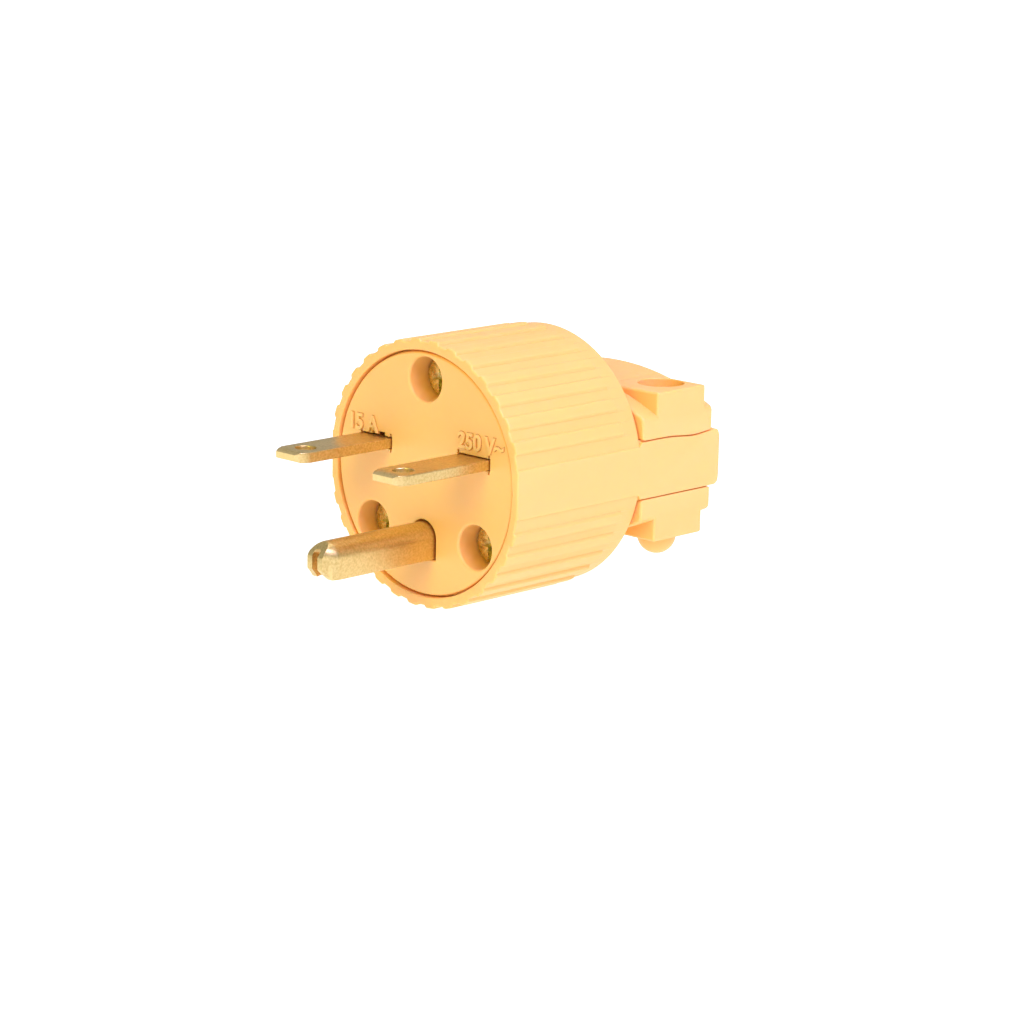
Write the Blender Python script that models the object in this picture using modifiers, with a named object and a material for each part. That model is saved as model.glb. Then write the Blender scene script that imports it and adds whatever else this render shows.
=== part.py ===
"""Rewirable two-blade-and-ground attachment plug.

The plug's axis is X: the blades point to -X and the cord leaves towards +X. The ground pin is below (-Z).
The origin is the centre of the face disc's front face. Sizes are in millimetres, scaled once to metres.
"""
from math import asin, cos, degrees, pi, radians, sin

import bmesh
import bpy
from mathutils import Matrix, Vector

MM = 0.001
GAP = 0.3                # clearance between touching pieces

# Shell
SHELL_R = 19.5
SHELL_FRONT = -0.3
SHELL_REAR = 25.6
SHELL_FILLET = 0.5
REAR_WALL = 2.6
CHAMBER_R = 16.6
CORD_HOLE_R = 7.5
FLAT_Y = 19.35           # the two side flats, in line with the arms
FLAT_HALF = 3.55
RIB_COUNT = 14           # grip ribs above, and as many below
RIB_PITCH = radians(10.8)
RIB_WIDTH = 1.75
RIB_HEIGHT = 0.4
RIB_END = 22.3
RIB_ROOT = 0.5           # how deep a rib starts inside the round body
TRIM = 1.0               # extra length or height that is trimmed off flush afterwards

# Side arms that carry the cord clamp
ARM_END = 43.9
ARM_HALF = 4.2
ARM_INNER_Y = 8.0
ARM_CORNER = 2.0

# Face disc and terminal block
DISC_R = 17.9
DISC_DEPTH = 8.0
BLOCK_DEPTH = 6.0
BLOCK_FRONT = DISC_DEPTH + GAP
BLOCK_REAR = BLOCK_FRONT + BLOCK_DEPTH

# Assembly screws, at (y, z) places round the plug's axis
SCREW_PLACES = {"top": (0.0, 13.97), "near": (-10.64, -9.08), "far": (10.64, -9.08)}
WELL_R = 3.3
WELL_DEPTH = 5.8
ASSEMBLY_HEAD_R = 3.0
ASSEMBLY_HEAD = 2.2
ASSEMBLY_SHANK_R = 1.75
ASSEMBLY_TIP = 22.0
BOSS_R = 3.4
NOTCH_R = 2.6            # clearance round each screw in the terminal block

# Blades
BLADE_Y = 10.1
BLADE_Z = 3.45
BLADE_W = 6.35
BLADE_T = 1.52
BLADE_LENGTH = 17.9
BLADE_TIP_W = 4.0
BLADE_TIP_L = 2.0
BLADE_HOLE_R = 1.55
BLADE_HOLE_X = -13.95
SHOULDER_HALF = 4.3
SHOULDER_L = 2.0
TAIL_HALF = 3.5
TAIL_END = 21.0

# Ground pin, an upturned U
PIN_HALF = 2.4
PIN_TOP = -7.0
PIN_BOTTOM = -12.3
PIN_WALL = 0.95
PIN_LENGTH = 21.3
PIN_TAPER = 2.2
PIN_NOSE_HALF = 1.4
PIN_SLIT_HALF = 0.45
GROUND_TAIL_T = 1.0

# Binding screws and their pressure plates
BINDING_X = 17.5
BINDING_R = 1.75
BINDING_HEAD_R = 2.8
BINDING_HEAD = 2.0
BLADE_SCREW_L = 6.4
GROUND_SCREW_L = 4.2
PLATE_T = 0.8
PLATE_HALF = 2.8

# Cord clamp halves
CLAMP_FRONT = 25.9
CLAMP_REAR = 41.1
CLAMP_HALF_W = 19.3
CLAMP_INNER = 4.5
CLAMP_APEX = 12.2
CLAMP_ARCH_R = 44.0
WING_FRONT = 29.0
WING_REAR = 39.6
WING_TOP = 11.25
WING_INNER_Y = 11.7
TROUGH_HALF = 7.7
TROUGH_TOP = 9.9
JAW_EDGE = 4.9
JAW_T = 1.4
JAW_PLACES = (28.6, 33.5, 38.4)
CLAMP_SCREW_X = 35.75
CLAMP_SCREW_Y = 13.75
CLAMP_WELL_R = 3.5
CLAMP_WELL_FLOOR = 6.2
CLAMP_SHANK_R = 1.75
CLAMP_HEAD_R = 3.2
CLAMP_HEAD = 2.4
CLAMP_TIP = 12.4
DOME_R = 2.95
DOME_SIDE = 11.9         # where the dome's round end starts
NUT_FLATS = 7.0
NUT_T = 2.8

for old in list(bpy.data.objects):
    bpy.data.objects.remove(old, do_unlink=True)

parts = bpy.data.collections.new("two_blade_plug")
cutters = bpy.data.collections.new("cutters")
for group in (parts, cutters):
    bpy.context.scene.collection.children.link(group)


# ---------------------------------------------------------------- materials

def material(name, colour, roughness, metallic=0.0):
    made = bpy.data.materials.new(name)
    made.use_nodes = True
    shader = made.node_tree.nodes["Principled BSDF"]
    shader.inputs["Base Color"].default_value = (*colour, 1.0)
    shader.inputs["Roughness"].default_value = roughness
    shader.inputs["Metallic"].default_value = metallic
    return made


PLASTICS = {name: material(name, (0.95, 0.56, 0.17), 0.45)
            for name in ("shell", "face_disc", "cord_clamp_upper", "cord_clamp_lower")}
PLASTICS["terminal_block"] = material("terminal_block", (0.85, 0.78, 0.62), 0.5)


def metal(name, colour=(0.62, 0.42, 0.18)):
    return material(name, colour, 0.35, 1.0)


# ---------------------------------------------------------------- shape tools

def add(name, mesh, group=parts):
    """Put a mesh in the scene as an object, with the parts or with the hidden cutters."""
    made = bpy.data.objects.new(name, mesh)
    group.objects.link(made)
    if group is cutters:
        made.hide_render = True
        made.display_type = "WIRE"
    return made


def finished(bm, name):
    """A mesh from a bmesh, faces outwards and shaded smooth where it is round."""
    bmesh.ops.recalc_face_normals(bm, faces=bm.faces)
    mesh = bpy.data.meshes.new(name)
    bm.to_mesh(mesh)
    bm.free()
    mesh.shade_smooth()
    mesh.set_sharp_from_angle(angle=radians(30))
    return mesh


def box(name, low, high, group=cutters):
    """A block between two corners, in millimetres."""
    bm = bmesh.new()
    bmesh.ops.create_cube(bm, size=1.0)
    low, high = Vector(low), Vector(high)
    size = Matrix.Diagonal(high - low).to_4x4()
    bm.transform(Matrix.Scale(MM, 4) @ Matrix.Translation((low + high) / 2) @ size)
    return add(name, finished(bm, name), group)


def boxes(name, corners, group=cutters):
    """Several separate blocks in one object."""
    bm = bmesh.new()
    for low, high in corners:
        low, high = Vector(low), Vector(high)
        fresh = bmesh.ops.create_cube(bm, size=1.0)["verts"]
        place = Matrix.Translation((low + high) / 2) @ Matrix.Diagonal(high - low).to_4x4()
        bmesh.ops.transform(bm, matrix=Matrix.Scale(MM, 4) @ place, verts=fresh)
    return add(name, finished(bm, name), group)


def rods(name, places, radius, start, end, axis="X", sides=32, group=cutters):
    """Round rods along an axis, at each (u, v) place across it, in one object."""
    turn = Matrix.Rotation(pi / 2, 4, "Y") if axis == "X" else Matrix.Identity(4)
    bm = bmesh.new()
    for u, v in places:
        fresh = bmesh.ops.create_cone(bm, cap_ends=True, segments=sides, radius1=radius,
                                      radius2=radius, depth=end - start)["verts"]
        middle = (start + end) / 2
        centre = (middle, u, v) if axis == "X" else (u, v, middle)
        place = Matrix.Scale(MM, 4) @ Matrix.Translation(centre) @ turn
        bmesh.ops.transform(bm, matrix=place, verts=fresh)
    return add(name, finished(bm, name), group)


def turned(name, profile, steps=48, axis="X", group=parts):
    """A turned solid. The profile lists (radius, distance along the axis), from the far end back."""
    mesh = bpy.data.meshes.new(name)
    points = [(radius * MM, 0.0, along * MM) for radius, along in profile]
    mesh.from_pydata(points, [(i, i + 1) for i in range(len(points) - 1)], [])
    raw = bpy.data.objects.new(name, mesh)
    cutters.objects.link(raw)
    screw = raw.modifiers.new("turn", "SCREW")
    screw.steps = steps
    screw.render_steps = steps
    screw.use_merge_vertices = True
    screw.merge_threshold = 0.00001
    solid = evaluated(raw)
    if axis == "X":
        solid.transform(Matrix.Rotation(pi / 2, 4, "Y"))
    return add(name, solid, group)


def evaluated(raw):
    """The mesh that an object's modifiers or curve give, welded. The object is removed."""
    bpy.context.view_layer.update()
    name = raw.name
    mesh = bpy.data.meshes.new_from_object(raw.evaluated_get(bpy.context.evaluated_depsgraph_get()))
    bpy.data.objects.remove(raw, do_unlink=True)
    bm = bmesh.new()
    bm.from_mesh(mesh)
    bmesh.ops.remove_doubles(bm, verts=bm.verts, dist=0.000005)
    return finished(bm, name)


def plate(name, outlines, low, high, axis="Z", group=parts):
    """A flat outline, with any holes, extruded from low to high along an axis.

    An outline's points are (x, y) for axis Z, (x, z) for axis Y and (y, z) for axis X.
    """
    curve = bpy.data.curves.new(name, "CURVE")
    curve.dimensions = "2D"
    curve.fill_mode = "BOTH"
    curve.extrude = (high - low) / 2 * MM
    for outline in outlines:
        line = curve.splines.new("POLY")
        line.points.add(len(outline) - 1)
        for point, (u, v) in zip(line.points, outline):
            point.co = (u * MM, v * MM, 0.0, 1.0)
        line.use_cyclic_u = True
    raw = bpy.data.objects.new(name, curve)
    cutters.objects.link(raw)
    mesh = evaluated(raw)
    turns = {"Z": Matrix.Identity(4),
             "Y": Matrix.Rotation(pi / 2, 4, "X"),
             "X": Matrix(((0, 0, 1, 0), (1, 0, 0, 0), (0, 1, 0, 0), (0, 0, 0, 1)))}
    along = {"X": (1, 0, 0), "Y": (0, 1, 0), "Z": (0, 0, 1)}[axis]
    shift = Matrix.Translation(Vector(along) * (low + high) / 2 * MM)
    bm = bmesh.new()
    bm.from_mesh(mesh)
    bm.transform(shift @ turns[axis])
    return add(name, finished(bm, name), group)


def arc(centre, radius, start, end, steps):
    """Points on an arc, with its angles in degrees."""
    angles = [radians(start + (end - start) * i / steps) for i in range(steps + 1)]
    return [(centre[0] + radius * cos(a), centre[1] + radius * sin(a)) for a in angles]


def combine(target, tool, operation):
    """Join a tool to a target, cut it out, or keep what they share."""
    step = target.modifiers.new(tool.name, "BOOLEAN")
    step.operation = operation
    step.object = tool
    step.solver = "EXACT"


def cut(target, *tools):
    for tool in tools:
        combine(target, tool, "DIFFERENCE")


def join(target, *tools):
    for tool in tools:
        combine(target, tool, "UNION")


def own_origin(piece, point):
    """Move a piece's origin, in millimetres, without moving the piece."""
    offset = Vector(point) * MM
    piece.data.transform(Matrix.Translation(-offset))
    piece.location = offset


# ---------------------------------------------------------------- shell

def shell():
    """Round housing with a ribbed grip, a rear wall, screw bosses and two side arms."""
    fillet = arc((SHELL_R - SHELL_FILLET, SHELL_REAR - SHELL_FILLET), SHELL_FILLET, 90, 0, 4)
    early = SHELL_FRONT - TRIM
    body = turned("shell", [(0, SHELL_REAR)] + fillet + [(SHELL_R, early), (0, early)], 96)

    root = SHELL_R - RIB_ROOT
    tip = SHELL_R + RIB_HEIGHT
    bm = bmesh.new()
    for side in (0, pi):
        for k in range(RIB_COUNT):
            angle = side + (k - (RIB_COUNT - 1) / 2) * RIB_PITCH
            fresh = bmesh.ops.create_cube(bm, size=1.0)["verts"]
            size = Matrix.Diagonal((RIB_END - early, RIB_WIDTH, tip - root)).to_4x4()
            out = Matrix.Translation(((early + RIB_END) / 2, 0, (root + tip) / 2))
            place = Matrix.Scale(MM, 4) @ Matrix.Rotation(angle, 4, "X") @ out @ size
            bmesh.ops.transform(bm, matrix=place, verts=fresh)
    ribs = add("grip_ribs", finished(bm, "grip_ribs"), cutters)

    proud = FLAT_Y + TRIM / 2
    deep = FLAT_Y - TRIM
    pad_end = SHELL_REAR - SHELL_FILLET
    pads = boxes("side_pads", [((early, deep, -FLAT_HALF), (pad_end, proud, FLAT_HALF)),
                               ((early, -proud, -FLAT_HALF), (pad_end, -deep, FLAT_HALF))])
    join(body, ribs, pads)
    arm_start = SHELL_REAR - REAR_WALL + TRIM
    for side, name in ((-1, "arm_near"), (1, "arm_far")):
        corner = arc((ARM_END - ARM_CORNER, FLAT_Y - ARM_CORNER), ARM_CORNER, 0, 90, 6)
        outline = [(arm_start, ARM_INNER_Y), (ARM_END, ARM_INNER_Y)] + corner
        outline += [(ARM_END - ARM_CORNER - 0.2, proud), (arm_start, proud)]
        outline = [(x, side * y) for x, y in outline]
        join(body, plate(name, [outline], -ARM_HALF, ARM_HALF, "Z", cutters))
    tall = 2 * ARM_HALF
    trim = boxes("trim", [((early - 1, FLAT_Y, -tall), (ARM_END + 1, FLAT_Y + 4, tall)),
                          ((early - 1, -FLAT_Y - 4, -tall), (ARM_END + 1, -FLAT_Y, tall))])
    front = box("front_trim", (early - 1, -30, -30), (SHELL_FRONT, 30, 30))
    cut(body, trim, front)

    chamber_end = SHELL_REAR - REAR_WALL
    mouth = DISC_R + GAP
    cavity = [(0, chamber_end), (CHAMBER_R, chamber_end), (CHAMBER_R, BLOCK_FRONT), (mouth, BLOCK_FRONT),
              (mouth, SHELL_FRONT - 1), (0, SHELL_FRONT - 1)]
    cut(body, turned("cavity", cavity, 72, "X", cutters))
    boss_start = BLOCK_REAR + GAP
    join(body, rods("bosses", SCREW_PLACES.values(), BOSS_R, boss_start, chamber_end + 0.5, sides=40))
    pilot_r = ASSEMBLY_SHANK_R + GAP
    pilots = rods("pilots", SCREW_PLACES.values(), pilot_r, boss_start - 1, ASSEMBLY_TIP + 0.5)
    cord_hole = rods("cord_hole", [(0, 0)], CORD_HOLE_R, chamber_end - 1, SHELL_REAR + 1, sides=48)
    bolts = [(CLAMP_SCREW_X, -CLAMP_SCREW_Y), (CLAMP_SCREW_X, CLAMP_SCREW_Y)]
    arm_holes = rods("arm_holes", bolts, CLAMP_SHANK_R + GAP, -ARM_HALF - 1, ARM_HALF + 1, "Z")
    cut(body, pilots, cord_hole, arm_holes)
    return body


# ---------------------------------------------------------------- front carrier

def blade_slot(name, side, half, front, rear):
    y = side * BLADE_Y
    z = BLADE_T / 2 + GAP
    return box(name, (front, y - half, BLADE_Z - z), (rear, y + half, BLADE_Z + z))


def pin_slot(name, front, rear):
    half = PIN_HALF + GAP
    return box(name, (front, -half, PIN_BOTTOM - GAP), (rear, half, PIN_TOP + GAP))


def face_disc():
    """Front disc with the blade and pin slots and the three deep screw wells."""
    chamfer = 0.25
    rim = [(0, DISC_DEPTH), (DISC_R, DISC_DEPTH), (DISC_R, chamfer), (DISC_R - chamfer, 0), (0, 0)]
    disc = turned("face_disc", rim, 72)
    wells = rods("wells", SCREW_PLACES.values(), WELL_R, -1, WELL_DEPTH, sides=36)
    holes = rods("disc_holes", SCREW_PLACES.values(), ASSEMBLY_SHANK_R + GAP, -1, DISC_DEPTH + 1)
    cut(disc, wells, holes, pin_slot("disc_pin_slot", -1, DISC_DEPTH + 1))
    for side, name in ((-1, "disc_slot_near"), (1, "disc_slot_far")):
        cut(disc, blade_slot(name, side, BLADE_W / 2 + GAP, -1, DISC_DEPTH + 1))
    return disc


def terminal_block():
    """Inner block that traps the shoulders of the blades and the pin behind the disc."""
    radius = CHAMBER_R - GAP
    block = turned("terminal_block", [(0, BLOCK_REAR), (radius, BLOCK_REAR), (radius, BLOCK_FRONT),
                                      (0, BLOCK_FRONT)], 60)
    before = BLOCK_FRONT - 1
    after = BLOCK_REAR + 1
    pocket = BLOCK_FRONT + SHOULDER_L + GAP
    cut(block, rods("screw_notches", SCREW_PLACES.values(), NOTCH_R, before, after))
    for side, name in ((-1, "near"), (1, "far")):
        cut(block, blade_slot("pocket_" + name, side, SHOULDER_HALF + GAP, before, pocket),
            blade_slot("tail_slot_" + name, side, TAIL_HALF + GAP, before, after))
    low = PIN_TOP - GROUND_TAIL_T - GAP
    high = PIN_TOP + GAP
    wide = SHOULDER_HALF + GAP
    tail = TAIL_HALF + GAP
    cut(block, pin_slot("block_pin_slot", before, pocket),
        box("ground_shoulder_pocket", (before, -wide, low), (pocket, wide, high)),
        box("ground_tail_slot", (before, -tail, low), (after, tail, high)))
    return block


def circle(x, y, radius, steps=24):
    return arc((x, y), radius, 0, 360 - 360 / steps, steps - 1)


def line_blade(name, side):
    """Flat blade with a chamfered, holed tip, a shoulder and a wiring tail with a screw hole."""
    half = BLADE_W / 2
    tip = BLADE_TIP_W / 2
    start = BLOCK_FRONT
    end = BLOCK_FRONT + SHOULDER_L
    upper = [(-BLADE_LENGTH, tip), (-BLADE_LENGTH + BLADE_TIP_L, half), (start, half),
             (start, SHOULDER_HALF), (end, SHOULDER_HALF), (end, TAIL_HALF), (TAIL_END, TAIL_HALF)]
    outline = upper + [(x, -y) for x, y in reversed(upper)]
    y0 = side * BLADE_Y
    outline = [(x, y + y0) for x, y in outline]
    holes = [circle(BLADE_HOLE_X, y0, BLADE_HOLE_R), circle(BINDING_X, y0, BINDING_R + GAP)]
    return plate(name, [outline] + holes, BLADE_Z - BLADE_T / 2, BLADE_Z + BLADE_T / 2)


def ground_pin():
    """U-section pin, open below, with a pinched nose. Its top runs on inside as a flat wiring tail."""
    arch = PIN_TOP - PIN_HALF
    inner = PIN_HALF - PIN_WALL
    outside = [(PIN_HALF, PIN_BOTTOM)] + arc((0, arch), PIN_HALF, 0, 180, 12) + [(-PIN_HALF, PIN_BOTTOM)]
    inside = [(-inner, PIN_BOTTOM)] + arc((0, arch), inner, 180, 0, 10) + [(inner, PIN_BOTTOM)]
    rear = BLOCK_FRONT + SHOULDER_L
    full = -PIN_LENGTH + PIN_TAPER
    pin = plate("ground_pin", [outside + inside], full, rear, "X")

    nose = plate("pin_nose", [outside], -PIN_LENGTH, full + 0.2, "X", cutters)
    wedge = [(-PIN_LENGTH - 0.1, PIN_NOSE_HALF), (full, PIN_HALF), (full + 1, PIN_HALF + 0.1)]
    wedge += [(x, -y) for x, y in reversed(wedge)]
    combine(nose, plate("pin_wedge", [wedge], PIN_BOTTOM - 1, PIN_TOP + 1, "Z", cutters), "INTERSECT")
    cut(nose, box("pin_slit", (-PIN_LENGTH - 1, -PIN_SLIT_HALF, PIN_BOTTOM - 1),
                  (full + 1, PIN_SLIT_HALF, PIN_TOP - 1.4)))
    join(pin, nose)

    back = rear + 1
    side_view = [(-PIN_LENGTH, PIN_TOP - 1.9), (full, PIN_TOP + 0.1), (back, PIN_TOP + 0.1),
                 (back, PIN_BOTTOM - 1), (-PIN_LENGTH + 1.6, PIN_BOTTOM - 0.1),
                 (-PIN_LENGTH, PIN_BOTTOM + 1.6)]
    combine(pin, plate("pin_side_view", [side_view], -5, 5, "Y", cutters), "INTERSECT")

    start = BLOCK_FRONT
    upper = [(start, SHOULDER_HALF), (rear, SHOULDER_HALF), (rear, TAIL_HALF), (TAIL_END, TAIL_HALF)]
    outline = upper + [(x, -y) for x, y in reversed(upper)]
    hole = circle(BINDING_X, 0, BINDING_R + GAP)
    join(pin, plate("ground_tail", [outline, hole], PIN_TOP - GROUND_TAIL_T, PIN_TOP, "Z", cutters))
    return pin


# ---------------------------------------------------------------- screws, plates and nuts

def screw(name, head_r, head_h, shank_r, length, place, turn, slot=0.9):
    """Combination-head screw. Its head stands on local z = 0 and its shank runs down from there."""
    crown = 0.35
    profile = [(0, head_h), (head_r - 0.7, head_h), (head_r, head_h - crown), (head_r, 0), (shank_r, 0),
               (shank_r, 0.5 - length), (shank_r - 0.5, -length), (0, -length)]
    made = turned(name, profile, 32, "Z")
    deep = 0.9
    across = box(name + "_slot", (-head_r - 1, -slot / 2, head_h - deep), (head_r + 1, slot / 2, head_h + 1))
    arm = head_r * 0.62
    cross = box(name + "_cross", (-slot / 2, -arm, head_h - deep - 0.5), (slot / 2, arm, head_h + 1))
    matrix = Matrix.Translation(Vector(place) * MM) @ turn
    for piece in (made, across, cross):
        piece.matrix_world = matrix
    cut(made, across, cross)
    return made


FACING_FRONT = Matrix.Rotation(-pi / 2, 4, "Y")
FACING_UP = Matrix.Identity(4)
FACING_DOWN = Matrix.Rotation(pi, 4, "X")


def pressure_plate(name, y, z):
    """Square plate under a binding screw's head, with a clearance hole for its shank."""
    half = PLATE_HALF
    outline = [(BINDING_X - half, y - half), (BINDING_X + half, y - half), (BINDING_X + half, y + half),
               (BINDING_X - half, y + half)]
    hole = circle(BINDING_X, y, BINDING_R + GAP)
    made = plate(name, [outline, hole], z, z + PLATE_T)
    own_origin(made, (BINDING_X, y, z))
    return made


def binding_terminals():
    top = BLADE_Z + BLADE_T / 2 + GAP
    for side, name in ((-1, "near"), (1, "far")):
        y = side * BLADE_Y
        pressure_plate("wire_plate_" + name, y, top)
        screw("terminal_screw_" + name, BINDING_HEAD_R, BINDING_HEAD, BINDING_R, BLADE_SCREW_L,
              (BINDING_X, y, top + PLATE_T + GAP), FACING_UP)
    low = PIN_TOP - GROUND_TAIL_T - GAP
    pressure_plate("ground_wire_plate", 0.0, low - PLATE_T)
    screw("ground_terminal_screw", BINDING_HEAD_R, BINDING_HEAD, BINDING_R, GROUND_SCREW_L,
          (BINDING_X, 0.0, low - PLATE_T - GAP), FACING_DOWN)


def assembly_screws():
    seat = WELL_DEPTH - GAP
    for name, (y, z) in SCREW_PLACES.items():
        screw("assembly_screw_" + name, ASSEMBLY_HEAD_R, ASSEMBLY_HEAD, ASSEMBLY_SHANK_R,
              ASSEMBLY_TIP - seat, (seat, y, z), FACING_FRONT)


def clamp_half(name, turn):
    """Arched clamp half, modelled as the upper one. Turned over about X it is the lower one."""
    lift = CLAMP_APEX - CLAMP_ARCH_R
    spread = degrees(asin(CLAMP_HALF_W / CLAMP_ARCH_R))
    arch = arc((0, lift), CLAMP_ARCH_R, 90 - spread, 90 + spread, 20)
    section = [(-CLAMP_HALF_W, CLAMP_INNER), (CLAMP_HALF_W, CLAMP_INNER)] + arch
    made = plate(name, [section], CLAMP_FRONT, CLAMP_REAR, "X")

    near, far = -CLAMP_SCREW_Y, CLAMP_SCREW_Y
    wings = boxes(name + "_wings", [((WING_FRONT, WING_INNER_Y - 3, CLAMP_INNER + 1),
                                     (WING_REAR, CLAMP_HALF_W, WING_TOP)),
                                    ((WING_FRONT, -CLAMP_HALF_W, CLAMP_INNER + 1),
                                     (WING_REAR, 3 - WING_INNER_Y, WING_TOP))])
    foot = CLAMP_INNER + 1.2
    dome = [(0, DOME_SIDE + DOME_R)] + arc((0, DOME_SIDE), DOME_R, 75, 0, 5) + [(DOME_R, foot), (0, foot)]
    dome_piece = turned(name + "_dome", dome, 32, "Z", cutters)
    dome_piece.data.transform(Matrix.Translation(Vector((CLAMP_SCREW_X, far, 0)) * MM))

    corner = arc((TROUGH_HALF - 2.5, TROUGH_TOP - 2.5), 2.5, 0, 90, 5)
    half = [(TROUGH_HALF, CLAMP_INNER - 1)] + corner
    trough = plate(name + "_trough", [half + [(-y, z) for y, z in reversed(half)]],
                   CLAMP_FRONT - 1, CLAMP_REAR + 1, "X", cutters)
    jaws = boxes(name + "_jaws", [((x - JAW_T / 2, -TROUGH_HALF - 0.5, JAW_EDGE),
                                   (x + JAW_T / 2, TROUGH_HALF + 0.5, TROUGH_TOP + 0.5))
                                  for x in JAW_PLACES])
    well = rods(name + "_well", [(CLAMP_SCREW_X, near)], CLAMP_WELL_R, CLAMP_WELL_FLOOR, WING_TOP + 4, "Z")
    hole_r = CLAMP_SHANK_R + GAP
    through = rods(name + "_through", [(CLAMP_SCREW_X, near)], hole_r, CLAMP_INNER - 1, WING_TOP, "Z")
    blind = rods(name + "_blind", [(CLAMP_SCREW_X, far)], hole_r, CLAMP_INNER - 1, CLAMP_TIP + 0.3, "Z")
    nut_r = (NUT_FLATS / 2 + GAP) / cos(pi / 6)
    pocket = rods(name + "_pocket", [(CLAMP_SCREW_X, far)], nut_r, CLAMP_INNER - 1,
                  CLAMP_INNER + NUT_T + 2 * GAP, "Z", sides=6)
    tools = (wings, dome_piece, trough, jaws, well, through, blind, pocket)
    for piece in (made, *tools):
        piece.matrix_world = turn
    join(made, wings, dome_piece)
    cut(made, trough)
    join(made, jaws)
    cut(made, well, through, blind, pocket)
    return made


def clamp_nut(name, y, turn):
    nut_r = NUT_FLATS / 2 / cos(pi / 6)
    low = CLAMP_INNER + GAP
    made = rods(name, [(CLAMP_SCREW_X, y)], nut_r, low, low + NUT_T, "Z", sides=6, group=parts)
    hole = rods(name + "_hole", [(CLAMP_SCREW_X, y)], CLAMP_SHANK_R + GAP, low - 1, low + NUT_T + 1, "Z")
    for piece in (made, hole):
        piece.matrix_world = turn
    cut(made, hole)
    return made


def cord_clamp():
    head = CLAMP_WELL_FLOOR + GAP
    for name, screw_name, turn, facing in (("upper", "near", FACING_UP, FACING_UP),
                                           ("lower", "far", FACING_DOWN, FACING_DOWN)):
        clamp_half("cord_clamp_" + name, turn)
        side = 1 if name == "upper" else -1
        screw("clamp_screw_" + screw_name, CLAMP_HEAD_R, CLAMP_HEAD, CLAMP_SHANK_R, head + CLAMP_TIP,
              (CLAMP_SCREW_X, -side * CLAMP_SCREW_Y, side * head), facing)
    clamp_nut("clamp_nut_far", CLAMP_SCREW_Y, FACING_UP)
    clamp_nut("clamp_nut_near", CLAMP_SCREW_Y, FACING_DOWN)


# ---------------------------------------------------------------- assembly

def build():
    shell()
    face_disc()
    terminal_block()
    line_blade("line_blade_near", -1)
    line_blade("line_blade_far", 1)
    ground_pin()
    binding_terminals()
    assembly_screws()
    cord_clamp()
    metals = {"ground_terminal_screw": (0.06, 0.32, 0.12), "clamp_nut_near": (0.6, 0.6, 0.58),
              "clamp_nut_far": (0.6, 0.6, 0.58)}
    for piece in parts.objects:
        finish = PLASTICS.get(piece.name) or metal(piece.name, metals.get(piece.name, (0.62, 0.42, 0.18)))
        piece.data.materials.clear()
        piece.data.materials.append(finish)


build()
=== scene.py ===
"""Looks of the rewirable two-blade-and-ground plug, built round its CAD nodes.

The blades point to -X, the cord end is at +X and the ground pin is below, at -Z. The plug's sizes are in
millimetres and are scaled once, when a mesh is made. Outside pieces are finer meshes that stand for their
CAD nodes; the inner pieces are the CAD nodes themselves, with rounded edges and their own materials.
"""
from math import acos, asin, cos, exp, hypot, pi, radians, sin

import bmesh
import bpy
from mathutils import Matrix, Vector


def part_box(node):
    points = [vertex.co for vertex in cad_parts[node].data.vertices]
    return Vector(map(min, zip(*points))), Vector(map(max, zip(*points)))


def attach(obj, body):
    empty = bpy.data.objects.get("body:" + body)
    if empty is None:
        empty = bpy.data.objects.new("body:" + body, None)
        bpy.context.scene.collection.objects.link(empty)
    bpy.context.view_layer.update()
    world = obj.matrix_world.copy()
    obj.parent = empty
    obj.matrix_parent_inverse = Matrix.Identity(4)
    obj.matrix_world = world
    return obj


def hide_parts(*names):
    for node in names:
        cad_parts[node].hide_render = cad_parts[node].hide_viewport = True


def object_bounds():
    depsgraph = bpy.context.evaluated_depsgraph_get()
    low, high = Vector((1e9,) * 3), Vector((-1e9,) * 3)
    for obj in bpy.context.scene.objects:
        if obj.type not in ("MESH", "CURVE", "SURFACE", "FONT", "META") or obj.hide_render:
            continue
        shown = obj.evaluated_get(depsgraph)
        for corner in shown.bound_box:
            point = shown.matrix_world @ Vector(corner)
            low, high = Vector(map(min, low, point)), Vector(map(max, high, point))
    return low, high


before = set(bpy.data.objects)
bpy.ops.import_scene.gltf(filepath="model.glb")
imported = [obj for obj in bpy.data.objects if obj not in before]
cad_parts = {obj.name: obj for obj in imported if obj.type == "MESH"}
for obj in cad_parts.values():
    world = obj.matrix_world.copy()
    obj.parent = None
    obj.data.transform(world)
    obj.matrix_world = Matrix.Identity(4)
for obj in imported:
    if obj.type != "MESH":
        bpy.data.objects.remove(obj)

MM = 0.001
VIEW_HALF = 25           # half width of a cutter shaped like a side view
CAD_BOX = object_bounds()


def span(node):
    """A CAD node's lowest and highest corners, in millimetres."""
    low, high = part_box(node)
    return low / MM, high / MM


def middle(node):
    low, high = span(node)
    return (low + high) / 2


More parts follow.
